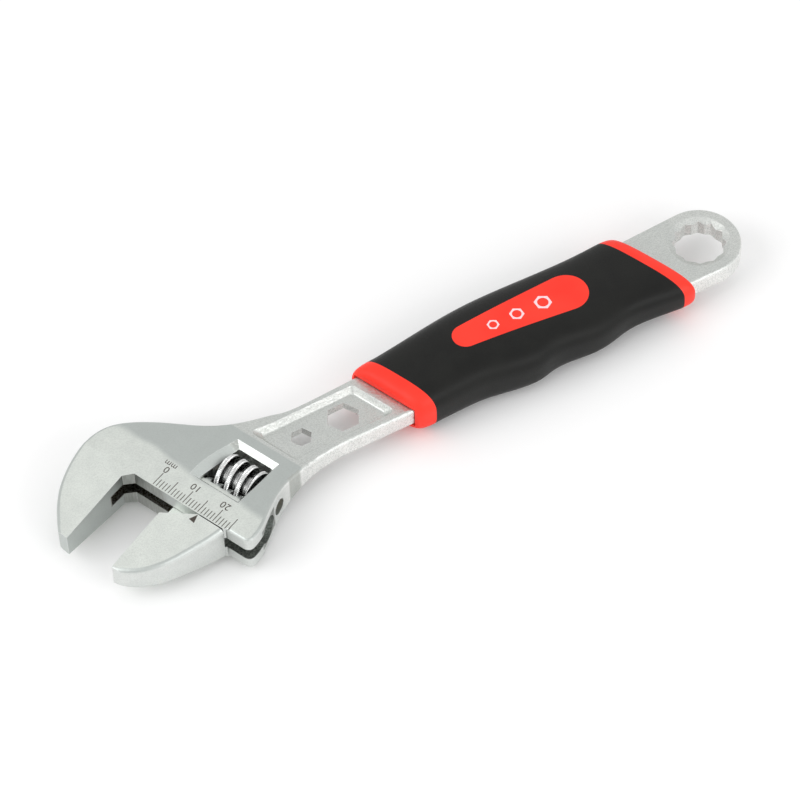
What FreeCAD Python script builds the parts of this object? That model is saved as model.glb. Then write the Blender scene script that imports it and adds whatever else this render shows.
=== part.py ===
"""Adjustable wrench, 200 mm class, with a two-colour grip and a 12-point box end.

Axes: +X runs from the jaws to the box end, +Y is the fixed-jaw side, +Z is up.
The origin is the centre of the box end, on the mid-plane of the handle.
The head is drawn in its own plan frame: "along" follows the jaw slide from the
fixed jaw to the moving jaw, and "up" runs from the jaw tips to the handle.
"""
import FreeCAD, Part
import math
import os

V = FreeCAD.Vector

# ---------------------------------------------------------------- overall sizes
HEAD_ANGLE = 22.5            # jaw faces to handle axis, degrees
JAW_CORNER_X = -170.9        # meeting point of the fixed jaw face and the ledge
JAW_CORNER_Y = 10.45
HEAD_HALF_T = 6.3            # half thickness of the head at the ledge
TIP_HALF_T = 3.7             # half thickness at the jaw tips
BAR_HALF_T = 3.05            # half thickness of the handle bar and box end
RING_R = 11.6                # outside radius of the box end
BAR_HALF_W = 8.7             # half width of the bar where it leaves the head
BAR_START_Y = -0.7           # the bar leaves the head a little off the box end's centre line
BAR_START_X = JAW_CORNER_X + 56.9      # end of the curved neck
THIN_START = 10.0            # the forging thins between these heights above the ledge
THIN_END = 38.0
EDGE_R = 1.0                 # forged edge radius
CUT_T = 30.0                 # reach of through cuts

# ---------------------------------------------------------------- jaws
JAW_DEPTH = 25.0             # jaw tip to ledge
REST_OPENING = 15.2          # jaw opening as modelled
THROAT_FLAT = 2.3            # 45 degree facet in the throat
TIP_FLAT = 3.2               # blunt tip width of each jaw
JAW_GAP = 0.3                # moving jaw shoulder to ledge
CHEEK_STEP = 0.5             # cheek end face behind the ledge
CHEEK_STEP_AT = 32.6         # where the cheek end face starts
CHEEK_END = 40.4             # far corner of the cheeks
CHEEK_CORNER = 1.9
MOVING_JAW_W = 17.3          # moving jaw face to its shoulder
MOVING_RELIEF_UP = 5.5       # relief of the moving jaw's inner corner
MOVING_RELIEF_ALONG = 8.7
MOVING_EDGE_R = 1.6

# ---------------------------------------------------------------- rail and slot
RAIL_R = 3.75
RAIL_FIT = 0.05              # radial running clearance of the rail
RAIL_UP = 10.2               # rail axis above the ledge
RAIL_LEAD = 3.7              # rail end ahead of the moving jaw face
RAIL_TAIL = 20.4             # rail end behind the moving jaw face
BORE_MARGIN = 0.9            # space left at the blind end of the bore, jaws closed
SLOT_HALF = 2.0
SLOT_FIT = 0.1
SLOT_NOTCH = 7.2             # slot reach down the fixed jaw face
SLOT_NOTCH_DEPTH = 3.2
WEB_LAP = 1.5                # web overlap into the moving jaw

# ---------------------------------------------------------------- worm, pin, spring
PITCH = 3.35
WORM_R = 6.0
WORM_ROOT_R = 3.2
WORM_UP = 17.5               # worm axis above the ledge
CREST_AT = 18.0              # where a thread crest faces the handle, at rest
CREST_W = 1.45               # thread width at the crest
FLANK_SLOPE = 0.14           # thread half-width gained per mm of depth
MESH_GAP = 0.22              # backlash on each flank and at the crest
PIN_R = 1.5
PIN_FIT = 0.05
PIN_TIP_L = 4.4              # threaded length in the body
PIN_HEAD_R = 2.3
PIN_HEAD_L = 3.0
DRIVER_W = 0.8
DRIVER_DEPTH = 1.1
SPRING_WIRE_R = 0.3
SPRING_R = PIN_R + 0.55
SPRING_POCKET_R = SPRING_R + 0.55
SPRING_POCKET = 2.4
SPRING_TURNS = 2.75
SPRING_GAP = 0.05

# ---------------------------------------------------------------- knurl window
WINDOW_START = 16.0
WINDOW_END = 29.2
WINDOW_LOW = 9.7
WINDOW_HIGH = 24.2
WINDOW_SLANT = 1.9           # lean of the window's spring side over its height
WINDOW_CORNER = 0.8
WORM_GAP_LOW = 0.4           # free window length at the spring end
WORM_GAP_HIGH = 0.2
BEVEL_FAR = 2.1              # bevels around the window, on both faces
BEVEL_NEAR = 1.0
BEVEL_DEPTH = 1.5
BEVEL_GROW = 1.3             # bevel loft carried past the face

# ---------------------------------------------------------------- handle details
PANEL_START = 30.3           # recessed panel, in the head's "up" direction
PANEL_END = 58.8
PANEL_HALF_W = 6.8
PANEL_WEB = 1.2              # half thickness left in the panel
PANEL_DRAFT = 1.2            # run of the sloping panel wall
PANEL_CORNER = 1.8
HEX_SMALL_AF = 5.3
HEX_SMALL_X = JAW_CORNER_X + 45.8
HEX_LARGE_AF = 8.3
HEX_LARGE_X = JAW_CORNER_X + 58.5
HEX_Y = -0.55                # centre line of the panel and its hexagon holes
SOCKET_AF = 13.0
SOCKET_CHAMFER_R = 8.65
SOCKET_CHAMFER = 1.1
SOCKET_TIP_R = 0.5           # rounded points of the socket

# ---------------------------------------------------------------- grip
COLLAR_FRONT = 61.4          # grip ends and colour breaks, in the "up" direction
BREAK_FRONT = 65.9
BREAK_REAR = 136.3
COLLAR_REAR = 140.0
COLLAR_GAP = 0.35            # open gap between the front collar and the bar
COLLAR_RECESS = 1.5
SKIN = 0.4                   # red core around the bar, under the black cover
GRIP_POWER = 3.2             # roundness of the grip section
# half widths at distances from the jaw corner, and half thicknesses at "up" heights
FAR_WIDTHS = [(62.9, 10.1), (110.9, 14.0), (136.9, 13.5), (150.9, 13.9), (165.9, 13.6)]
NEAR_WIDTHS = [(66.9, 12.2), (91.9, 11.7), (108.9, 14.2), (117.4, 13.0),
               (128.4, 14.1), (141.9, 12.3), (157.9, 13.8), (175.9, 13.8)]
THICKNESSES = [(COLLAR_FRONT, 7.0), (BREAK_FRONT, 7.6), (90, 8.0), (BREAK_REAR, 6.3),
               (COLLAR_REAR, 6.0)]
END_ROUND = 2.2              # length of the rounded grip ends
FRONT_DROP = (1.0, 2.2)      # how far the front end is drawn in: sides, faces
REAR_DROP = (0.8, 0.8)
STATION_STEP = 3.95
INLAY_TIP = (97.8, 1.6, 3.8)       # x from the jaw corner, y and radius of the small end
INLAY_END = (128.7, 1.0, 6.3)

# ---------------------------------------------------------------- derived sizes
WORM_START = WINDOW_START + WINDOW_SLANT + WORM_GAP_LOW
WORM_END = WINDOW_END - WORM_GAP_HIGH
RAIL_START = REST_OPENING - RAIL_LEAD
RAIL_END = REST_OPENING + RAIL_TAIL
BORE_END = -RAIL_LEAD - BORE_MARGIN
PIN_START = WINDOW_START - PIN_TIP_L
PIN_HEAD_START = WINDOW_END + 2.2

# ---------------------------------------------------------------- plan frame of the head
ANGLE = math.radians(HEAD_ANGLE)
ALONG = V(math.sin(ANGLE), -math.cos(ANGLE), 0)
UP = V(math.cos(ANGLE), math.sin(ANGLE), 0)
Z = V(0, 0, 1)
CORNER = V(JAW_CORNER_X, JAW_CORNER_Y, 0)


def head(along, up, z=0.0):
    """A point given in the head's plan frame."""
    return CORNER + ALONG * along + UP * up + Z * z


def in_head(point):
    """Plan coordinates (along, up) of a point."""
    d = point - CORNER
    return d.dot(ALONG), d.dot(UP)


def cross_x(up, y):
    """Where a plane parallel to the jaw slide crosses a line along the handle."""
    return JAW_CORNER_X + (up - (y - JAW_CORNER_Y) * UP.y) / UP.x


def line(p, q):
    return Part.makeLine(p, q)


def arc(p, q, r):
    return Part.Arc(p, q, r).toShape()


def curve(points, start, end):
    """A smooth curve through the points with given end directions."""
    spline = Part.BSplineCurve()
    spline.interpolate(Points=points, InitialTangent=start, FinalTangent=end)
    return spline.toShape()


def loop(points):
    return Part.makePolygon(list(points) + [points[0]])


def prism(points, direction):
    return Part.Face(loop(points)).extrude(direction)


def tall(wire):
    """A closed plan outline extruded through the whole thickness."""
    face = Part.Face(wire)
    face.translate(Z * (-CUT_T / 2))
    return face.extrude(Z * CUT_T)


def head_box(along0, along1, up0, up1, half_z):
    """A box square to the head."""
    solid = prism([head(along0, up0), head(along1, up0), head(along1, up1),
                   head(along0, up1)], Z * (2 * half_z))
    solid.translate(Z * -half_z)
    return solid


def head_rod(radius, along0, along1, up):
    """A round rod parallel to the jaw slide."""
    return Part.makeCylinder(radius, along1 - along0, head(along0, up), ALONG)


def both_faces(tool):
    """The tool and its mirror image in the mid-plane."""
    return tool.fuse(tool.mirror(V(0, 0, 0), Z))


def fused(parts):
    solid = parts[0].multiFuse(parts[1:])
    return solid.removeSplitter()


def edge_middle(edge):
    return edge.valueAt((edge.FirstParameter + edge.LastParameter) / 2)


# ---------------------------------------------------------------- thickness of the forging
def taper(up):
    """Half thickness of the ground jaw faces, at a height from the ledge."""
    return HEAD_HALF_T + (HEAD_HALF_T - TIP_HALF_T) * up / JAW_DEPTH


def forging_slab(low=-27.0, high=185.0, side=-90.0, width=230.0):
    """Side view of the forging: thick head, thinning neck, flat bar."""
    third = (THIN_END - THIN_START) / 3
    edges = []
    for sign in (1, -1):
        thick = sign * HEAD_HALF_T
        thin = sign * BAR_HALF_T
        neck = Part.BezierCurve()
        neck.setPoles([head(side, THIN_START, thick), head(side, THIN_START + third, thick),
                       head(side, THIN_END - third, thin), head(side, THIN_END, thin)])
        edges.append(line(head(side, low, sign * taper(low)), head(side, 0, thick)))
        edges.append(line(head(side, 0, thick), head(side, THIN_START, thick)))
        edges.append(neck.toShape())
        edges.append(line(head(side, THIN_END, thin), head(side, high, thin)))
    edges.append(line(head(side, low, -taper(low)), head(side, low, taper(low))))
    edges.append(line(head(side, high, -BAR_HALF_T), head(side, high, BAR_HALF_T)))
    wire = Part.Wire(Part.__sortEdges__(edges))
    return Part.Face(wire).extrude(ALONG * width)


def forging_z(up):
    """Half thickness of the forging above the ledge."""
    t = min(max((up - THIN_START) / (THIN_END - THIN_START), 0), 1)
    return HEAD_HALF_T - (HEAD_HALF_T - BAR_HALF_T) * (3 * t * t - 2 * t ** 3)


# ---------------------------------------------------------------- body
def tangent_to_ring(start):
    """Where a straight bar edge from a plan point touches the box end, and its direction."""
    side = math.copysign(1, start.y)
    reach = math.hypot(start.x, start.y)
    lean = math.asin(RING_R / reach) - math.atan2(abs(start.y), -start.x)
    touch = V(-RING_R * math.sin(lean), side * RING_R * math.cos(lean), 0)
    return touch, V(math.cos(lean), side * math.sin(lean), 0)


def body_outline():
    tip_in = head(0, -JAW_DEPTH)
    tip_out = head(-TIP_FLAT, -JAW_DEPTH + 0.3)
    neck_far = V(BAR_START_X, BAR_START_Y + BAR_HALF_W, 0)
    neck_near = V(BAR_START_X, BAR_START_Y - BAR_HALF_W, 0)
    far_ring, far_lean = tangent_to_ring(neck_far)
    near_ring, near_lean = tangent_to_ring(neck_near)
    back = [tip_out, head(-7.5, -20.2), head(-11.6, -14.1), head(-14.4, -6.0),
            head(-15.1, 2.0), head(-13.5, 7.9), head(-9.2, 13.0), V(JAW_CORNER_X + 18, JAW_CORNER_Y + 7.9, 0),
            V(JAW_CORNER_X + 28.2, JAW_CORNER_Y + 2, 0), neck_far + V(-15, 1.15, 0), neck_far]
    cheek_side = head(CHEEK_END, CHEEK_STEP + CHEEK_CORNER)
    cheek_turn = head(CHEEK_END - CHEEK_CORNER * (1 - math.sqrt(0.5)),
                      CHEEK_STEP + CHEEK_CORNER * (1 - math.sqrt(0.5)))
    cheek_front = head(CHEEK_END - CHEEK_CORNER, CHEEK_STEP)
    front = [neck_near, neck_near + V(-14, -1.45, 0), V(JAW_CORNER_X + 32.4, JAW_CORNER_Y - 25.5, 0),
             head(38.8, 10.0), cheek_side]
    step_high = head(CHEEK_STEP_AT, CHEEK_STEP)
    step_low = head(CHEEK_STEP_AT - CHEEK_STEP, 0)
    throat_up = head(THROAT_FLAT, 0)
    throat_down = head(0, -THROAT_FLAT)
    edges = [
        line(tip_in, tip_out),
        curve(back, UP - ALONG, far_lean),
        line(neck_far, far_ring),
        arc(far_ring, V(RING_R, 0, 0), near_ring),
        line(near_ring, neck_near),
        curve(front, near_lean * -1, UP * -1),
        arc(cheek_side, cheek_turn, cheek_front),
        line(cheek_front, step_high),
        line(step_high, step_low),
        line(step_low, throat_up),
        line(throat_up, throat_down),
        line(throat_down, tip_in),
    ]
    return Part.Wire(edges)


def outer_rim(shape):
    """Edges around the forging, without the jaw face, ledge, cheek front and jaw tip."""
    chosen = []
    for edge in shape.Edges:
        middle = edge_middle(edge)
        along, up = in_head(middle)
        ends = [in_head(vertex.Point)[1] for vertex in edge.Vertexes]
        across = abs(ends[0] - ends[-1]) < 0.01
        inner = -0.5 < along < CHEEK_END and up < CHEEK_STEP + 0.2
        tip = up < -JAW_DEPTH + 0.5
        if abs(middle.z) > 0.1 and not (across or inner or tip):
            chosen.append(edge)
    return chosen


def window_side(up):
    """Where the window's slanting spring side is, at a height above the ledge."""
    return WINDOW_START + WINDOW_SLANT * (up - WINDOW_LOW) / (WINDOW_HIGH - WINDOW_LOW)


def window_cut():
    opening = tall(loop([head(window_side(WINDOW_LOW), WINDOW_LOW), head(WINDOW_END, WINDOW_LOW),
                         head(WINDOW_END, WINDOW_HIGH),
                         head(window_side(WINDOW_HIGH), WINDOW_HIGH)]))
    uprights = [e for e in opening.Edges if e.BoundBox.ZLength > CUT_T / 2]
    opening = opening.makeFillet(WINDOW_CORNER, uprights)
    rows = []
    for grow in (0, BEVEL_GROW):
        far = BEVEL_FAR * grow
        near = BEVEL_NEAR * grow
        low = forging_z(WINDOW_LOW) + BEVEL_DEPTH * (grow - 1)
        high = forging_z(WINDOW_HIGH) + BEVEL_DEPTH * (grow - 1)
        rows.append(loop([
            head(window_side(WINDOW_LOW) - far, WINDOW_LOW - near, low),
            head(WINDOW_END + near, WINDOW_LOW - near, low),
            head(WINDOW_END + near, WINDOW_HIGH + far, high),
            head(window_side(WINDOW_HIGH) - far, WINDOW_HIGH + far, high),
        ]))
    return opening.fuse(both_faces(Part.makeLoft(rows, True, True)))


def panel_rim(inset, z):
    """Outline of the handle panel: sides along the bar, ends parallel to the jaw slide."""
    half = PANEL_HALF_W - inset
    points = []
    for up, y in ((PANEL_START + inset, -half), (PANEL_START + inset, half),
                  (PANEL_END - inset, half), (PANEL_END - inset, -half)):
        y += HEX_Y
        points.append(V(cross_x(up, y), y, z))
    return loop(points)


def panel_cut():
    depth = BAR_HALF_T - PANEL_WEB
    over = 1.0
    tool = Part.makeLoft([panel_rim(PANEL_DRAFT, PANEL_WEB),
                          panel_rim(-PANEL_DRAFT * over / depth, BAR_HALF_T + over)], True, True)
    corners = [e for e in tool.Edges if e.BoundBox.ZLength > depth]
    tool = tool.makeFillet(PANEL_CORNER, corners)
    floor = [e for e in tool.Edges if e.BoundBox.ZMax < PANEL_WEB + 0.05]
    return both_faces(tool.makeFillet(0.5, floor))


def hexagon(x, y, across_flats, turn=0.0):
    r = across_flats / math.sqrt(3)
    angles = [math.radians(60 * i + turn) for i in range(6)]
    return tall(loop([V(x + r * math.cos(a), y + r * math.sin(a), 0) for a in angles]))


def socket_cut():
    slope = (SOCKET_CHAMFER_R - SOCKET_AF / 2) / SOCKET_CHAMFER
    over = 0.5
    cone = Part.makeCone(SOCKET_AF / 2, SOCKET_CHAMFER_R + slope * over, SOCKET_CHAMFER + over,
                         Z * (BAR_HALF_T - SOCKET_CHAMFER), Z)
    points = fused([hexagon(0, 0, SOCKET_AF), hexagon(0, 0, SOCKET_AF, 30)])
    tips = [e for e in points.Edges if edge_middle(e).Length > SOCKET_AF / 2 * 1.1]
    points = points.makeFillet(SOCKET_TIP_R, [e for e in tips if e.BoundBox.ZLength > 1])
    return points.fuse(both_faces(cone))


def rail_cut():
    reach = CHEEK_END + 20
    slot = head_box(-SLOT_NOTCH_DEPTH, reach, -SLOT_NOTCH, RAIL_UP, SLOT_HALF)
    return slot.fuse(head_rod(RAIL_R + RAIL_FIT, BORE_END, reach, RAIL_UP))


def pin_cut():
    reach = CHEEK_END + 20
    thread = head_rod(PIN_R, PIN_START - 0.5, WINDOW_START, WORM_UP)
    clear = head_rod(PIN_R + PIN_FIT, WINDOW_START, PIN_HEAD_START, WORM_UP)
    pocket = head_rod(PIN_HEAD_R + PIN_FIT, PIN_HEAD_START, reach, WORM_UP)
    return fused([thread, clear, pocket])


def body():
    solid = tall(body_outline()).common(forging_slab())
    solid = solid.makeFillet(EDGE_R, outer_rim(solid))
    for tool in (rail_cut(), window_cut(), pin_cut(), panel_cut(), socket_cut(),
                 hexagon(HEX_SMALL_X, HEX_Y, HEX_SMALL_AF), hexagon(HEX_LARGE_X, HEX_Y, HEX_LARGE_AF)):
        solid = solid.cut(tool)
    return solid


# ---------------------------------------------------------------- moving jaw
def thread_half_width(radius):
    return CREST_W / 2 + FLANK_SLOPE * (WORM_R - radius)


def jaw_plate():
    face = REST_OPENING
    shoulder = -JAW_GAP
    tip_in = head(face, -JAW_DEPTH)
    tip_out = head(face + TIP_FLAT, -JAW_DEPTH + 0.3)
    heel = head(face + MOVING_JAW_W, shoulder)
    outside = [tip_out, head(face + 8.9, -20.0), head(face + 12.6, -13.6),
               head(face + 15.2, -7.0), heel]
    edges = [
        line(tip_in, tip_out),
        curve(outside, ALONG * 0.9 + UP * 0.45, ALONG * 0.25 + UP),
        line(heel, head(face + MOVING_RELIEF_ALONG, shoulder)),
        line(head(face + MOVING_RELIEF_ALONG, shoulder), head(face, -MOVING_RELIEF_UP)),
        line(head(face, -MOVING_RELIEF_UP), tip_in),
    ]
    plate = tall(Part.Wire(edges)).common(forging_slab())
    rim = []
    for edge in plate.Edges:
        middle = edge_middle(edge)
        if abs(middle.z) > 0.1 and in_head(middle)[0] > face + MOVING_RELIEF_ALONG + 2:
            if in_head(middle)[1] < shoulder - 0.1:
                rim.append(edge)
    return plate.makeFillet(MOVING_EDGE_R, rim)


def rack_cut():
    """Slanting tooth spaces that follow the worm's thread."""
    bottom = WORM_UP - WORM_R - MESH_GAP
    top = RAIL_UP + RAIL_R + 0.5
    narrow = CREST_W / 2 + MESH_GAP
    wide = thread_half_width(WORM_UP - top) + MESH_GAP
    slant = Z - ALONG * (PITCH / (2 * math.pi * (WORM_R - 1.2)))
    reach = RAIL_R + 1
    first = CREST_AT + PITCH / 2
    tools = []
    for i in range(-4, 8):
        middle = first + i * PITCH
        if RAIL_START - PITCH / 2 < middle < RAIL_END + PITCH / 2:
            tool = prism([head(middle - narrow, bottom), head(middle + narrow, bottom),
                          head(middle + wide, top), head(middle - wide, top)],
                         slant * (2 * reach))
            tool.translate(slant * -reach)
            tools.append(tool)
    return tools


def moving_jaw():
    web_half = SLOT_HALF - SLOT_FIT
    low = -MOVING_RELIEF_UP - WEB_LAP
    web = prism([
        head(REST_OPENING, low, -web_half),
        head(REST_OPENING + MOVING_RELIEF_ALONG, low, -web_half),
        head(REST_OPENING + MOVING_JAW_W - WEB_LAP, -WEB_LAP, -web_half),
        head(REST_OPENING + MOVING_JAW_W - WEB_LAP, RAIL_UP, -web_half),
        head(REST_OPENING, RAIL_UP, -web_half),
    ], Z * (2 * web_half))
    solid = fused([jaw_plate(), web, head_rod(RAIL_R, RAIL_START, RAIL_END, RAIL_UP)])
    for tool in rack_cut():
        solid = solid.cut(tool)
    return solid


# ---------------------------------------------------------------- worm, pin and spring
def worm_frame():
    """Placement that turns local X, Y, Z into UP, Z, ALONG on the worm axis."""
    o = head(0, WORM_UP)
    return FreeCAD.Placement(FreeCAD.Matrix(
        UP.x, 0, ALONG.x, o.x,
        UP.y, 0, ALONG.y, o.y,
        0, 1, 0, o.z,
        0, 0, 0, 1))


def coil(profile, pitch, height, start):
    """A profile in the local XZ plane swept along a right-hand helix about local Z."""
    helix = Part.makeHelix(pitch, height, SPRING_R)
    helix.translate(Z * start)
    return Part.Wire(helix.Edges).makePipeShell([profile], True, True)


def worm():
    root = WORM_ROOT_R - 0.4
    start = CREST_AT - 2 * PITCH
    height = 6 * PITCH
    profile = loop([
        V(root, 0, start - thread_half_width(root)),
        V(WORM_R, 0, start - CREST_W / 2),
        V(WORM_R, 0, start + CREST_W / 2),
        V(root, 0, start + thread_half_width(root)),
    ])
    thread = coil(profile, PITCH, height, start)
    length = WORM_END - WORM_START
    thread = thread.common(Part.makeCylinder(WORM_R + 2, length, Z * WORM_START))
    solid = fused([Part.makeCylinder(WORM_ROOT_R, length, Z * WORM_START), thread])
    solid = solid.cut(Part.makeCylinder(PIN_R + PIN_FIT, length, Z * WORM_START))
    solid = solid.cut(Part.makeCylinder(SPRING_POCKET_R, SPRING_POCKET, Z * WORM_START))
    solid.Placement = worm_frame()
    return solid


def worm_pin():
    solid = fused([
        head_rod(PIN_R, PIN_START, PIN_HEAD_START + 0.5, WORM_UP),
        head_rod(PIN_HEAD_R, PIN_HEAD_START, PIN_HEAD_START + PIN_HEAD_L, WORM_UP),
    ])
    end = PIN_HEAD_START + PIN_HEAD_L
    driver = head_box(end - DRIVER_DEPTH, end + 1, WORM_UP - PIN_HEAD_R - 1,
                      WORM_UP + PIN_HEAD_R + 1, DRIVER_W / 2)
    return solid.cut(driver)


def worm_spring():
    start = window_side(WORM_UP + SPRING_POCKET_R) + SPRING_WIRE_R + SPRING_GAP
    height = WORM_START + SPRING_POCKET - SPRING_GAP - SPRING_WIRE_R - start
    profile = Part.Wire(Part.makeCircle(SPRING_WIRE_R, V(SPRING_R, 0, start), V(0, 1, 0)))
    solid = coil(profile, height / SPRING_TURNS, height, start)
    solid.Placement = worm_frame()
    return solid


# ---------------------------------------------------------------- grip
def swell(table, at):
    """Size at a place along the handle: half-cosine waves between the listed places."""
    if at <= table[0][0]:
        return table[0][1]
    for (a, low), (b, high) in zip(table, table[1:]):
        if at <= b:
            return low + (high - low) * (1 - math.cos(math.pi * (at - a) / (b - a))) / 2
    return table[-1][1]


def end_drop(up):
    """How far a section near a rounded grip end is drawn in: sides, faces."""
    for end, drop in ((COLLAR_FRONT, FRONT_DROP), (COLLAR_REAR, REAR_DROP)):
        near = 1 - abs(up - end) / END_ROUND
        if near > 0:
            share = 1 - math.sqrt(1 - near * near)
            return drop[0] * share, drop[1] * share
    return 0, 0


def grip_section(up, sides=20):
    """A rounded section of the grip on a plane parallel to the jaw slide."""
    side_drop, face_drop = end_drop(up)
    thick = swell(THICKNESSES, up) - face_drop
    points = []
    for i in range(sides):
        t = 2 * math.pi * i / sides
        c, s = math.cos(t), math.sin(t)
        table = FAR_WIDTHS if c >= 0 else NEAR_WIDTHS
        y = math.copysign(abs(c) ** (2 / GRIP_POWER), c)
        z = math.copysign(abs(s) ** (2 / GRIP_POWER), s) * thick
        y = y * (swell(table, cross_x(up, y * BAR_HALF_W) - JAW_CORNER_X) - side_drop)
        points.append(V(cross_x(up, y), y, z))
    spline = Part.BSplineCurve()
    spline.interpolate(Points=points, PeriodicFlag=True)
    return Part.Wire(spline.toShape())


def grip_envelope():
    ends = [0, 0.06 * END_ROUND, 0.3 * END_ROUND, END_ROUND]
    length = COLLAR_REAR - COLLAR_FRONT - 2 * END_ROUND
    count = round(length / STATION_STEP)
    stations = [COLLAR_FRONT + d for d in ends]
    stations += [COLLAR_FRONT + END_ROUND + length * i / count for i in range(1, count)]
    stations += [COLLAR_REAR - d for d in reversed(ends)]
    return Part.makeLoft([grip_section(up) for up in stations], True, False)


def bar_sleeve(gap, low, high):
    """A block that wraps the bar with a gap all round, between two heights."""
    front_half = BAR_HALF_W + gap
    rear_half = RING_R + gap
    wall = prism([V(BAR_START_X, BAR_START_Y - front_half, 0), V(0, -rear_half, 0),
                  V(0, rear_half, 0), V(BAR_START_X, BAR_START_Y + front_half, 0)],
                 Z * (2 * (BAR_HALF_T + gap)))
    wall.translate(Z * -(BAR_HALF_T + gap))
    return wall.common(head_box(-90, 140, low, high, CUT_T))


def inlay_prism():
    (x0, y0, r0), (x1, y1, r1) = INLAY_TIP, INLAY_END
    heading = math.atan2(y1 - y0, x1 - x0)
    spread = math.pi / 2 + math.asin((r1 - r0) / math.hypot(x1 - x0, y1 - y0))

    def rim(x, y, r, angle):
        return V(JAW_CORNER_X + x + r * math.cos(heading + angle),
                 y + r * math.sin(heading + angle), 0)
    edges = [
        arc(rim(x0, y0, r0, spread), rim(x0, y0, r0, math.pi), rim(x0, y0, r0, -spread)),
        line(rim(x0, y0, r0, -spread), rim(x1, y1, r1, -spread)),
        arc(rim(x1, y1, r1, -spread), rim(x1, y1, r1, 0), rim(x1, y1, r1, spread)),
        line(rim(x1, y1, r1, spread), rim(x0, y0, r0, spread)),
    ]
    return tall(Part.Wire(edges))


def grip_parts(bar):
    """The red core and the black cover share one envelope, split by the same tools."""
    envelope = grip_envelope()
    red = fused([
        bar_sleeve(SKIN, COLLAR_FRONT, COLLAR_REAR),
        head_box(-90, 140, COLLAR_FRONT - 5, BREAK_FRONT, CUT_T),
        head_box(-90, 140, BREAK_REAR, COLLAR_REAR + 5, CUT_T),
        inlay_prism(),
    ])
    mouth = bar_sleeve(COLLAR_GAP, COLLAR_FRONT - 1, COLLAR_FRONT + COLLAR_RECESS)
    return envelope.common(red).cut(bar).cut(mouth), envelope.cut(red)


# ---------------------------------------------------------------- export
def solid_of(shape):
    return shape.Solids[0] if len(shape.Solids) == 1 else shape


os.makedirs("parts", exist_ok=True)
forging = body()
grip_core, grip_cover = grip_parts(forging)
nodes = {
    "body": forging,
    "moving_jaw": moving_jaw(),
    "worm": worm(),
    "worm_pin": worm_pin(),
    "worm_spring": worm_spring(),
    "grip_core": grip_core,
    "grip_cover": grip_cover,
}
for name, shape in nodes.items():
    solid_of(shape).exportStep("parts/%s.step" % name)
    print(name, len(shape.Solids), shape.isValid(), round(shape.Volume, 1))
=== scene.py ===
"""Looks of an adjustable wrench: satin chrome, a knurled worm, and a red and black grip."""
import bmesh
import bpy
import math
from mathutils import Matrix, Vector
from mathutils.bvhtree import BVHTree


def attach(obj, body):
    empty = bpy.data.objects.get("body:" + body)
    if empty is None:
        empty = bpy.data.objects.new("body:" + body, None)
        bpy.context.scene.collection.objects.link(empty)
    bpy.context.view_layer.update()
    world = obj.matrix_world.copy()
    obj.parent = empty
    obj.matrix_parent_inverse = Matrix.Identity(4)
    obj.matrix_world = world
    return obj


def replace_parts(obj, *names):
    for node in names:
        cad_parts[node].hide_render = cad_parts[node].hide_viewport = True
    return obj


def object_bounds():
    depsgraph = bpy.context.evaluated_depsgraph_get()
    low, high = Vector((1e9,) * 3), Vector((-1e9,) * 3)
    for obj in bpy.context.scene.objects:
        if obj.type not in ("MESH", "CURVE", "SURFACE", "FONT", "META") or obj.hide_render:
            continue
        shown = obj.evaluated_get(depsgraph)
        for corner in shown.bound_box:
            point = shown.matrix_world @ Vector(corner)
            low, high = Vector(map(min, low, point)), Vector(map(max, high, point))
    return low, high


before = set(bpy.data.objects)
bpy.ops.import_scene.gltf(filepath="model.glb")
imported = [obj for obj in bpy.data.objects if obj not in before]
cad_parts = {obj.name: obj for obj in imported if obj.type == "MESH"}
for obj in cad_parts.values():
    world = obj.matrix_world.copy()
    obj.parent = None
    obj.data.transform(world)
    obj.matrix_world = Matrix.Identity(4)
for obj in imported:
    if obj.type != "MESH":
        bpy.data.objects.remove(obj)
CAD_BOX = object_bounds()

MM = 0.001

# ---------------------------------------------------------------- plan frame of the head
ANGLE = math.radians(22.5)
ALONG = Vector((math.sin(ANGLE), -math.cos(ANGLE), 0))
UP = Vector((math.cos(ANGLE), math.sin(ANGLE), 0))
Z = Vector((0, 0, 1))
CORNER = Vector((-170.9, 10.45, 0))


def head(along, up, z=0.0):
    """A point of the head in millimetres, given along the slide and up from the ledge."""
    return CORNER + ALONG * along + UP * up + Z * z


# ---------------------------------------------------------------- camera
CAMERA_AT = Vector((-396.63, -565.71, 842.07)) * MM
CAMERA_RIGHT = Vector((0.86489, -0.50125, -0.02658))
CAMERA_FORWARD = Vector((0.28435, 0.53289, -0.79698))
LENS = 178.3


def add_camera():
    camera = bpy.data.objects.new("camera", bpy.data.cameras.new("camera"))
    bpy.context.scene.collection.objects.link(camera)
    camera.data.lens = LENS
    camera.data.sensor_width = 36
    camera.data.clip_end = 20
    forward = CAMERA_FORWARD.normalized()
    right = (CAMERA_RIGHT - forward * CAMERA_RIGHT.dot(forward)).normalized()
    up = right.cross(forward)
    turn = Matrix((right, up, -forward)).transposed()
    camera.matrix_world = Matrix.Translation(CAMERA_AT) @ turn.to_4x4()
    bpy.context.scene.camera = camera


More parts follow.
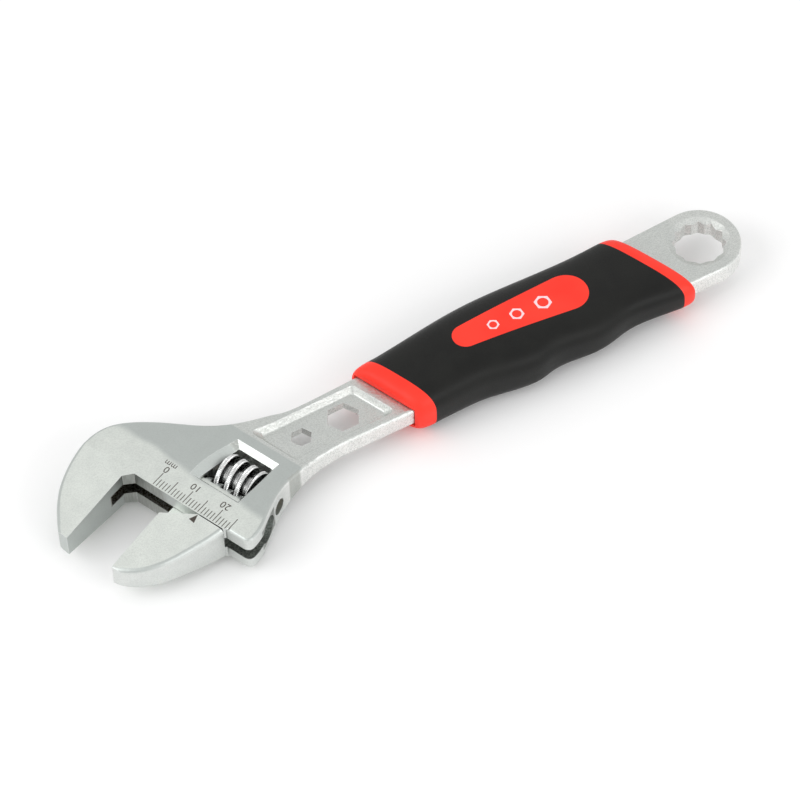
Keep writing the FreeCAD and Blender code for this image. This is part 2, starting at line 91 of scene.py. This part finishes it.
# ---------------------------------------------------------------- node helpers
class Shader:
    """Small helper for building one node material."""

    def __init__(self, name):
        self.material = bpy.data.materials.new(name)
        self.material.use_nodes = True
        self.tree = self.material.node_tree
        self.tree.nodes.clear()
        self.output = self.node("ShaderNodeOutputMaterial")
        self.bsdf = self.node("ShaderNodeBsdfPrincipled")
        self.link(self.bsdf.outputs[0], self.output.inputs["Surface"])

    def node(self, kind, **values):
        node = self.tree.nodes.new(kind)
        for key, value in values.items():
            setattr(node, key, value)
        return node

    def link(self, a, b):
        self.tree.links.new(a, b)

    def put(self, socket, value):
        if isinstance(value, bpy.types.NodeSocket):
            self.link(value, socket)
        else:
            socket.default_value = value

    def math(self, operation, a, b=0.0, c=0.0):
        node = self.node("ShaderNodeMath", operation=operation)
        self.put(node.inputs[0], a)
        self.put(node.inputs[1], b)
        self.put(node.inputs[2], c)
        return node.outputs[0]

    def ramp(self, value, low, high, out_low=0.0, out_high=1.0):
        node = self.node("ShaderNodeMapRange", interpolation_type="SMOOTHSTEP")
        self.put(node.inputs["Value"], value)
        self.put(node.inputs["From Min"], low)
        self.put(node.inputs["From Max"], high)
        self.put(node.inputs["To Min"], out_low)
        self.put(node.inputs["To Max"], out_high)
        return node.outputs["Result"]

    def mix(self, factor, a, b):
        node = self.node("ShaderNodeMix", data_type="RGBA")
        self.put(node.inputs["Factor"], factor)
        self.put(node.inputs["A"], a)
        self.put(node.inputs["B"], b)
        return node.outputs["Result"]

    def place(self):
        return self.node("ShaderNodeTexCoord").outputs["Object"]

    def turned(self, vector, angle, scale=(1, 1, 1)):
        """Coordinates turned about Z, then stretched."""
        spin = self.node("ShaderNodeVectorRotate", rotation_type="Z_AXIS")
        self.put(spin.inputs["Vector"], vector)
        spin.inputs["Angle"].default_value = angle
        stretch = self.node("ShaderNodeVectorMath", operation="MULTIPLY")
        self.link(spin.outputs[0], stretch.inputs[0])
        stretch.inputs[1].default_value = scale
        return stretch.outputs[0]

    def noise(self, vector, scale, detail=3.0, rough=0.5):
        node = self.node("ShaderNodeTexNoise")
        self.put(node.inputs["Vector"], vector)
        node.inputs["Scale"].default_value = scale
        node.inputs["Detail"].default_value = detail
        node.inputs["Roughness"].default_value = rough
        return node.outputs["Fac"]

    def bump(self, height, distance, strength=1.0, normal=None):
        node = self.node("ShaderNodeBump")
        self.put(node.inputs["Height"], height)
        node.inputs["Distance"].default_value = distance
        node.inputs["Strength"].default_value = strength
        if normal is not None:
            self.link(normal, node.inputs["Normal"])
        return node.outputs["Normal"]

    def dot(self, a, b):
        node = self.node("ShaderNodeVectorMath", operation="DOT_PRODUCT")
        self.put(node.inputs[0], a)
        self.put(node.inputs[1], b)
        return node.outputs["Value"]

    def product(self, first, *others):
        """All the values multiplied together."""
        for value in others:
            first = self.math("MULTIPLY", first, value)
        return first

    def normal(self):
        return self.node("ShaderNodeNewGeometry").outputs["Normal"]

    def axis(self, vector, direction, origin):
        """Distance of a point along a direction, from an origin, in millimetres."""
        offset = self.node("ShaderNodeVectorMath", operation="SUBTRACT")
        self.put(offset.inputs[0], vector)
        offset.inputs[1].default_value = origin * MM
        return self.math("MULTIPLY", self.dot(offset.outputs[0], direction), 1 / MM)


def edge_light(shader, radius):
    """1 where the surface turns sharply, such as a worn edge; it masks the lightened edges, wear and a
    painted highlight.
    """
    bevel = shader.node("ShaderNodeBevel", samples=4)
    bevel.inputs["Radius"].default_value = radius
    return shader.ramp(shader.dot(bevel.outputs[0], shader.normal()), 0.995, 0.9)


# ---------------------------------------------------------------- metals
GROUND = (0.80, 0.835, 0.79, 1)
FORGED = (0.545, 0.58, 0.56, 1)
BRIGHT = (0.80, 0.81, 0.78, 1)
# painted glare: a painted reflection laid on upright sides
PAINTED_GLARE = (0.97, 0.97, 0.95, 1)
DULL = (0.50, 0.52, 0.49, 1)
CLOUDED = (0.42, 0.45, 0.44, 1)
SPECKLED = (0.40, 0.42, 0.40, 1)
# lightened edges: wear and a painted highlight
WORN_EDGE_HIGHLIGHT = (0.85, 0.87, 0.86, 1)
# painted shade of the slot and the bore: brown in the throat, grey beyond
THROAT_SHADE = (0.10, 0.082, 0.05, 1)
BORE_SHADE = (0.20, 0.215, 0.20, 1)

# borders of the zones: where each fades in or out, in head millimetres
GROUND_TOP = (10.6, 8.2)
WINDOW_FROM = (22.5, 23.5)
WINDOW_TO = (28.2, 27.0)
PANEL_FROM = (28.6, 29.2)
PANEL_DEPTH = (4.3, 4.1)
HANDLE_FROM = (38, 52)
BOX_END_FROM = (150, 155)
SLOT_DEPTH = (2.25, 2.02)
SLOT_FROM = (-3.7, -3.3)
SLOT_LOW = (-7.7, -7.3)
SLOT_HIGH = (15.0, 14.2)
BORE_DEPTH = (4.1, 3.9)
BORE_LOW = (6.0, 6.6)
LIP_LOW = (-2.9, -2.3)
LIP_HIGH = (1.0, 0.6)
LIP_TO = (14, 11)
SHADE_TINT_TO = (14, 17)


def forging_zones(s, up, depth, face, upright, broad):
    """Masks of the body: ground head, rough window bevels and panel, bright handle, and the upright sides
    that get a painted glare.
    """
    wave = s.math("MULTIPLY", s.math("SUBTRACT", broad, 0.5), 5.0)
    wavy_up = s.math("ADD", up, wave)
    ground = s.ramp(wavy_up, *GROUND_TOP)
    panel = s.product(s.ramp(up, *PANEL_FROM), s.ramp(depth, *PANEL_DEPTH))
    window = s.product(s.ramp(up, *WINDOW_FROM), s.ramp(up, *WINDOW_TO), s.ramp(face, 0.93, 0.88))
    handle = s.math("MAXIMUM", s.ramp(wavy_up, *HANDLE_FROM, 0.0, 0.45), s.ramp(up, *BOX_END_FROM, 0.0, 0.8))
    handle = s.math("MAXIMUM", handle, s.product(panel, 0.6))
    # upright faces of the jaw and the neck are lightened with painted glare
    jaw_side_glare = s.product(upright, s.ramp(up, -1.5, 1.0, 0.0, 0.40))
    neck_side_glare = s.product(upright, s.ramp(up, 14, 26, 0.0, 0.95))
    return ground, panel, window, handle, s.math("MAXIMUM", jaw_side_glare, neck_side_glare)


def hollow_shade_colour(s, colour, place, along, up, depth, upright):
    """Slot and bore: painted shade in their hollows and on the lip beside them, brown in the throat, grey
    beyond, broken up by streaks.
    """
    from_side = s.ramp(along, *SLOT_FROM)
    slot = s.product(s.ramp(depth, *SLOT_DEPTH), from_side, s.ramp(up, *SLOT_LOW))
    bore = s.product(s.ramp(depth, *BORE_DEPTH), s.ramp(up, *BORE_LOW), from_side)
    inside = s.product(s.math("MAXIMUM", slot, bore), s.ramp(up, *SLOT_HIGH))
    lip = s.product(upright, s.ramp(up, *LIP_LOW), s.ramp(up, *LIP_HIGH), s.ramp(along, *LIP_TO), 0.42)
    # streaks break up the painted shade
    streaks = s.noise(s.turned(place, ANGLE, (1, 1, 0.12)), 2200, 3, 0.6)
    marks = s.ramp(streaks, 0.35, 0.62, 0.55, 1.0)
    shade_tint = s.mix(s.ramp(along, *SHADE_TINT_TO), THROAT_SHADE, BORE_SHADE)
    return s.mix(s.product(s.math("MAXIMUM", inside, lip), marks), colour, shade_tint)


def satin_chrome(name, is_body):
    """Satin chrome of the forging, with its zones, or of the moving jaw."""
    s = Shader(name)
    place = s.place()
    along = s.axis(place, ALONG, CORNER)
    up = s.axis(place, UP, CORNER)
    depth = s.math("ABSOLUTE", s.axis(place, Z, Vector()))
    face = s.math("ABSOLUTE", s.dot(s.normal(), Z))
    flat = s.ramp(face, 0.93, 0.995)
    upright = s.ramp(face, 0.72, 0.35)
    grind = s.noise(s.turned(place, ANGLE, (1, 6, 1)), 1500, 4, 0.6)
    pits = s.noise(place, 2600, 3, 0.65)
    broad = s.noise(place, 60, 2, 0.5)
    if is_body:
        ground, panel, window, handle, side = forging_zones(s, up, depth, face, upright, broad)
        ground = s.product(ground, flat)
        rough_cast = s.math("MAXIMUM", panel, window)
        colour = s.mix(handle, s.mix(ground, FORGED, GROUND), BRIGHT)
        # upright sides take the painted glare; the window bevels go dull
        colour = s.mix(s.product(window, 0.9), s.mix(side, colour, PAINTED_GLARE), DULL)
    else:
        ground = flat
        rough_cast = 0.0
        # upright sides of the moving jaw take the painted glare
        colour = s.mix(s.product(upright, 0.42), s.mix(ground, FORGED, GROUND), PAINTED_GLARE)

    tone = s.ramp(s.noise(place, 220, 5, 0.6), 0.3, 0.7, 0.0, 0.14)
    colour = s.mix(tone, colour, CLOUDED)
    speckle = s.math("ADD", pits, s.product(s.math("SUBTRACT", grind, 0.5), 0.8))
    speckle = s.ramp(speckle, 0.36, 0.7, 0.0, 0.30)
    speckle = s.product(speckle, s.math("ADD", s.product(rough_cast, 0.9), 0.75))
    colour = s.mix(speckle, colour, SPECKLED)
    # painted shade in the slot, the bore and on the lip
    if is_body:
        colour = hollow_shade_colour(s, colour, place, along, up, depth, upright)
    edge = edge_light(s, 0.4 * MM)
    # edges are lightened for wear and a painted highlight
    colour = s.mix(s.product(edge, 0.5), colour, WORN_EDGE_HIGHLIGHT)
    s.put(s.bsdf.inputs["Base Color"], colour)
    s.bsdf.inputs["Metallic"].default_value = 1.0

    rough = s.ramp(broad, 0.3, 0.7, 0.36, 0.46)
    s.put(s.bsdf.inputs["Roughness"], s.math("SUBTRACT", rough, s.product(edge, 0.12)))
    grain = s.product(grind, s.math("ADD", s.product(ground, 0.8), 0.2))
    coarse = s.product(s.noise(place, 1100, 2, 0.5), s.product(rough_cast, 3.0))
    height = s.math("ADD", s.math("ADD", grain, s.product(pits, 0.9)), coarse)
    s.put(s.bsdf.inputs["Normal"], s.bump(height, 0.05 * MM, 0.8))
    return s.material


def polished(name, colour, rough, grain=0.02, dark=0.5):
    """Bare metal with clouds of a darker shade; the grain is in millimetres."""
    s = Shader(name)
    cloud = s.noise(s.place(), 700, 4, 0.6)
    shade = tuple(c * 0.3 for c in colour[:3]) + (1,)
    s.put(s.bsdf.inputs["Base Color"], s.mix(s.ramp(cloud, 0.3, 0.75, 0, dark), colour, shade))
    s.bsdf.inputs["Metallic"].default_value = 1.0
    s.put(s.bsdf.inputs["Roughness"], s.ramp(cloud, 0.3, 0.7, rough, rough + 0.1))
    s.put(s.bsdf.inputs["Normal"], s.bump(cloud, grain * MM, 0.6))
    return s.material


def worm_chrome():
    """Bright crests over thread flanks painted nearly black, for oil and painted shade in the grooves."""
    s = Shader("polished_chrome")
    place = s.place()
    up = s.axis(place, UP, head(0, WORM_UP))
    z = s.axis(place, Z, Vector())
    radius = s.math("SQRT", s.math("ADD", s.product(up, up), s.product(z, z)))
    cloud = s.noise(place, 900, 4, 0.6)
    # flanks between the crests are painted nearly black: oil and painted shade
    flank = s.product(s.ramp(radius, 3.6, 4.3), s.ramp(radius, 5.82, 5.45))
    flank = s.product(flank, s.ramp(cloud, 0.3, 0.6, 0.97, 0.75))
    colour = s.mix(flank, (0.86, 0.865, 0.86, 1), (0.022, 0.023, 0.024, 1))
    colour = s.mix(s.ramp(cloud, 0.45, 0.75, 0, 0.5), colour, (0.25, 0.25, 0.25, 1))
    s.put(s.bsdf.inputs["Base Color"], colour)
    s.bsdf.inputs["Metallic"].default_value = 1.0
    s.put(s.bsdf.inputs["Roughness"], s.ramp(cloud, 0.3, 0.7, 0.16, 0.30))
    s.put(s.bsdf.inputs["Normal"], s.bump(cloud, 0.03 * MM, 0.6))
    return s.material


# ---------------------------------------------------------------- grip materials
def red_plastic():
    s = Shader("red_plastic")
    place = s.place()
    cloud = s.noise(place, 90, 3, 0.5)
    s.put(s.bsdf.inputs["Base Color"], s.mix(s.ramp(cloud, 0.3, 0.7, 0, 1), (0.98, 0.042, 0.022, 1),
                                             (0.92, 0.032, 0.016, 1)))
    s.put(s.bsdf.inputs["Roughness"], s.ramp(cloud, 0.3, 0.7, 0.40, 0.50))
    s.bsdf.inputs["Specular IOR Level"].default_value = 0.3
    fine = s.noise(place, 2600, 2, 0.5)
    s.put(s.bsdf.inputs["Normal"], s.bump(fine, 0.02 * MM, 0.35))
    return s.material


def black_rubber():
    s = Shader("black_rubber")
    place = s.place()
    cloud = s.noise(place, 120, 4, 0.55)
    s.put(s.bsdf.inputs["Base Color"], s.mix(s.ramp(cloud, 0.3, 0.7, 0, 1), (0.0050, 0.0052, 0.0046, 1),
                                             (0.0085, 0.0088, 0.0076, 1)))
    s.put(s.bsdf.inputs["Roughness"], s.ramp(cloud, 0.3, 0.7, 0.38, 0.50))
    s.bsdf.inputs["Specular IOR Level"].default_value = 0.22
    s.bsdf.inputs["Sheen Weight"].default_value = 0.02
    s.bsdf.inputs["Sheen Roughness"].default_value = 0.5
    fine = s.noise(place, 3000, 3, 0.6)
    s.put(s.bsdf.inputs["Normal"], s.bump(fine, 0.09 * MM, 0.8))
    return s.material


def ink(name, colour):
    s = Shader(name)
    cloud = s.noise(s.place(), 1500, 3, 0.6)
    s.put(s.bsdf.inputs["Base Color"], s.mix(s.ramp(cloud, 0.35, 0.75, 0, 0.35), colour,
                                             tuple(min(1, c * 1.8 + 0.02) for c in colour[:3]) + (1,)))
    s.put(s.bsdf.inputs["Roughness"], s.ramp(cloud, 0.3, 0.7, 0.5, 0.7))
    return s.material


# ---------------------------------------------------------------- pieces
HEAD_TOP = 6.3
JAW_TIP_TOP = 3.7
JAW_DEPTH = 25
INK_T = 0.012
MARK_LIFT = 0.015            # lift of the pointer and the inlay print off their faces

TICK_FIRST = 8.4
SCALE_MM = 25
TICK_LOW = 0.35
TICK_L = 2.4
TICK_LONG_L = 4.3
TICK_HALF_W = 0.11


def mesh_piece(name, bm, material, body):
    mesh = bpy.data.meshes.new(name)
    bm.to_mesh(mesh)
    bm.free()
    piece = bpy.data.objects.new(name, mesh)
    bpy.context.scene.collection.objects.link(piece)
    mesh.materials.append(material)
    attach(piece, body)
    return piece


def add_face(bm, corners):
    bm.faces.new([bm.verts.new(c * MM) for c in corners])


def scale_marks(material):
    """The scale's millimetre ticks, every fifth one long."""
    top = HEAD_TOP + INK_T
    bm = bmesh.new()
    for i in range(SCALE_MM + 1):
        left = TICK_FIRST + i - TICK_HALF_W
        right = TICK_FIRST + i + TICK_HALF_W
        high = TICK_LOW + (TICK_LONG_L if i % 5 == 0 else TICK_L)
        add_face(bm, [head(left, TICK_LOW, top), head(right, TICK_LOW, top),
                      head(right, high, top), head(left, high, top)])
    return mesh_piece("scale_ticks", bm, material, "handle")


def numeral(text, along, up, size, material):
    """Generic scale figures, read with the jaws upward."""
    name = "scale_text_" + text
    curve = bpy.data.curves.new(name, "FONT")
    curve.body = text
    curve.size = size * MM
    curve.align_x = "CENTER"
    curve.align_y = "CENTER"
    curve.space_character = 1.05
    piece = bpy.data.objects.new(name, curve)
    bpy.context.scene.collection.objects.link(piece)
    turn = Matrix((-ALONG, -UP, Z)).transposed()
    piece.matrix_world = Matrix.Translation(head(along, up, HEAD_TOP + INK_T) * MM) @ turn.to_4x4()
    curve.materials.append(material)
    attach(piece, "handle")


def pointer(material):
    """The inked triangle on the moving jaw that reads the scale, on the jaw's sloping face."""
    slope = (HEAD_TOP - JAW_TIP_TOP) / JAW_DEPTH
    corners = [(24.1, -0.34), (22.9, -2.6), (24.8, -2.9)]
    bm = bmesh.new()
    add_face(bm, [head(a, u, HEAD_TOP + u * slope + MARK_LIFT) for a, u in corners])
    return mesh_piece("pointer", bm, material, "jaw")


# ---------------------------------------------------------------- inlay print
NUTS = ((-65.0, 1.75), (-57.6, 2.1), (-49.4, 2.5))      # place along the handle, radius
NUT_Y = 1.0
NUT_INNER_HEX = 0.8          # shares of the nut's radius
NUT_BORE = 0.62
NUT_POINTS = 48
ABOVE_INLAY = 20


def hexagon_reach(radius, turn):
    """Distance from a hexagon's middle to its outline."""
    slice_angle = (turn + math.pi / 6) % (math.pi / 3) - math.pi / 6
    return radius * math.cos(math.pi / 6) / math.cos(slice_angle)


def nut_marks(material):
    """A row of plain hexagon nut outlines printed on the inlay."""
    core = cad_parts["grip_core"]
    tree = BVHTree.FromObject(core, bpy.context.evaluated_depsgraph_get())
    turns = [2 * math.pi * i / NUT_POINTS for i in range(NUT_POINTS)]
    bm = bmesh.new()

    def ring(x, reaches):
        verts = []
        for reach, turn in zip(reaches, turns):
            above = Vector((x + reach * math.cos(turn), NUT_Y + reach * math.sin(turn), ABOVE_INLAY)) * MM
            verts.append(bm.verts.new(tree.ray_cast(above, -Z)[0] + Z * MARK_LIFT * MM))
        return verts

    for x, radius in NUTS:
        outside = ring(x, [hexagon_reach(radius, t) for t in turns])
        middle = ring(x, [hexagon_reach(radius * NUT_INNER_HEX, t) for t in turns])
        bore = ring(x, [radius * NUT_BORE] * NUT_POINTS)
        for inner, outer in ((middle, outside), (bore, middle)):
            for i in range(NUT_POINTS):
                j = (i + 1) % NUT_POINTS
                bm.faces.new([inner[i], outer[i], outer[j], inner[j]])
    return mesh_piece("inlay_nuts", bm, material, "handle")


# ---------------------------------------------------------------- knurled worm
PITCH = 3.35
WORM_UP = 17.5
WORM_START = 18.3
WORM_END = 29.0
CREST_AT = 18.0
WORM_R = 6.0
ROOT_R = 3.2
WORM_BORE_R = 1.56
WORM_FACE_R = 2.7
THREAD_STEPS = 312
THREAD_TURNS = 6
NOTCHES = 78                 # cross notches in one turn
NOTCH_DEPTH = 0.2
CREST_GROOVE = 0.24
HUB_STEPS = 64


def thread_section(turn):
    """Points across one thread, as offset and radius: root, flank and a notched crest."""
    notch = NOTCH_DEPTH * (0.5 + 0.5 * math.cos(turn * NOTCHES))
    half = [(1.25, ROOT_R - 0.3), (1.08, ROOT_R + 0.35), (0.70, WORM_R - 0.30 - notch / 2),
            (0.50, WORM_R - 0.02 - notch)]
    low = [(-offset, radius) for offset, radius in half]
    return low + [(0.0, WORM_R - CREST_GROOVE)] + half[::-1]


def add_thread(bm):
    rows = []
    for i in range(THREAD_TURNS * THREAD_STEPS + 1):
        turn = 2 * math.pi * i / THREAD_STEPS
        at = CREST_AT + PITCH * (i / THREAD_STEPS - 2)
        rows.append([bm.verts.new((r * math.cos(turn), r * math.sin(turn), at + offset))
                     for offset, r in thread_section(turn)])
    count = len(rows[0])
    for a, b in zip(rows, rows[1:]):
        for k in range(count):
            j = (k + 1) % count
            bm.faces.new([a[k], b[k], b[j], a[j]])
    bm.faces.new(rows[0])
    bm.faces.new(list(reversed(rows[-1])))
    for height, side in ((WORM_START, -1), (WORM_END, 1)):
        cut = bmesh.ops.bisect_plane(bm, geom=bm.verts[:] + bm.edges[:] + bm.faces[:], dist=1e-5,
                                     plane_co=(0, 0, height), plane_no=(0, 0, side), clear_outer=True)
        rim = [e for e in cut["geom_cut"] if isinstance(e, bmesh.types.BMEdge)]
        bmesh.ops.holes_fill(bm, edges=rim)


def add_hub(bm):
    """The bored root of the worm, under the thread."""
    outline = [(WORM_BORE_R, WORM_START + 0.05), (WORM_FACE_R, WORM_START + 0.02),
               (ROOT_R - 0.15, WORM_START + 0.02), (ROOT_R, WORM_START + 0.2), (ROOT_R, WORM_END - 0.2),
               (ROOT_R - 0.15, WORM_END - 0.02), (WORM_BORE_R, WORM_END - 0.02)]
    rings = []
    for i in range(HUB_STEPS):
        turn = 2 * math.pi * i / HUB_STEPS
        rings.append([bm.verts.new((r * math.cos(turn), r * math.sin(turn), z)) for r, z in outline])
    for i in range(HUB_STEPS):
        a, b = rings[i], rings[(i + 1) % HUB_STEPS]
        for k in range(len(outline)):
            j = (k + 1) % len(outline)
            bm.faces.new([a[k], b[k], b[j], a[j]])


def knurled_worm(material):
    bm = bmesh.new()
    add_thread(bm)
    add_hub(bm)
    bmesh.ops.recalc_face_normals(bm, faces=bm.faces[:])
    turn = Matrix((UP, Z, ALONG)).transposed().to_4x4()
    bm.transform(Matrix.Scale(MM, 4) @ Matrix.Translation(head(0, WORM_UP)) @ turn)
    return mesh_piece("knurled_worm", bm, material, "knurl")


# ---------------------------------------------------------------- stage and light
FLOOR_HALF = 6.0
FLOOR_GAP = 0.0002
WRENCH_MIDDLE = (-0.1, 0, 0)


def add_softbox(name, at, size, power):
    """A soft light that faces the wrench, in metres and watts."""
    light = bpy.data.lights.new(name, "AREA")
    light.shape = "RECTANGLE"
    light.size, light.size_y = size
    light.energy = power
    item = bpy.data.objects.new(name, light)
    bpy.context.scene.collection.objects.link(item)
    aim = (Vector(WRENCH_MIDDLE) - Vector(at)).normalized()
    item.matrix_world = Matrix.Translation(Vector(at)) @ aim.to_track_quat("-Z", "Y").to_matrix().to_4x4()


def paper():
    s = Shader("paper")
    cloud = s.noise(s.place(), 3, 2)
    s.put(s.bsdf.inputs["Base Color"], s.mix(cloud, (0.93, 0.93, 0.93, 1), (0.95, 0.95, 0.95, 1)))
    s.bsdf.inputs["Roughness"].default_value = 0.9
    s.bsdf.inputs["Specular IOR Level"].default_value = 0.1
    return s.material


def add_stage():
    """A pale floor under the wrench, an even sky and two soft lights."""
    level = CAD_BOX[0][2] - FLOOR_GAP
    bm = bmesh.new()
    corners = ((-1, -1), (1, -1), (1, 1), (-1, 1))
    bm.faces.new([bm.verts.new((x * FLOOR_HALF, y * FLOOR_HALF, level)) for x, y in corners])
    mesh = bpy.data.meshes.new("floor")
    bm.to_mesh(mesh)
    bm.free()
    floor = bpy.data.objects.new("floor", mesh)
    bpy.context.scene.collection.objects.link(floor)
    mesh.materials.append(paper())

    world = bpy.data.worlds.new("studio")
    world.use_nodes = True
    sky = world.node_tree.nodes["Background"]
    sky.inputs["Color"].default_value = (1, 1, 1, 1)
    sky.inputs["Strength"].default_value = 0.85
    bpy.context.scene.world = world
    add_softbox("left_softbox", (-0.95, 0.1, 0.72), (0.9, 0.7), 4.2)
    add_softbox("front_softbox", (0.25, -1.0, 0.62), (0.9, 0.6), 3.6)
    bpy.context.scene.view_settings.view_transform = "Standard"


# ---------------------------------------------------------------- build
add_camera()
add_stage()

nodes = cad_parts
looks = {
    "body": satin_chrome("forged_chrome", True),
    "moving_jaw": satin_chrome("ground_chrome", False),
    "worm": worm_chrome(),
    "worm_pin": polished("brassy_steel", (0.26, 0.22, 0.15, 1), 0.38, 0.06, 0.9),
    "worm_spring": polished("spring_wire", (0.40, 0.40, 0.40, 1), 0.3),
    "grip_core": red_plastic(),
    "grip_cover": black_rubber(),
}
for name, material in looks.items():
    mesh = nodes[name].data
    mesh.materials.clear()
    mesh.materials.append(material)

dark_ink = ink("scale_ink", (0.045, 0.036, 0.028, 1))
scale_marks(dark_ink)
numeral("0", 8.4, 6.05, 2.9, dark_ink)
numeral("10", 18.3, 6.05, 2.9, dark_ink)
numeral("20", 28.15, 6.15, 2.9, dark_ink)
numeral("mm", 8.2, 7.9, 2.5, dark_ink)
pointer(dark_ink)
nut_marks(ink("inlay_print", (0.93, 0.62, 0.66, 1)))
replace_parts(knurled_worm(looks["worm"]), "worm")
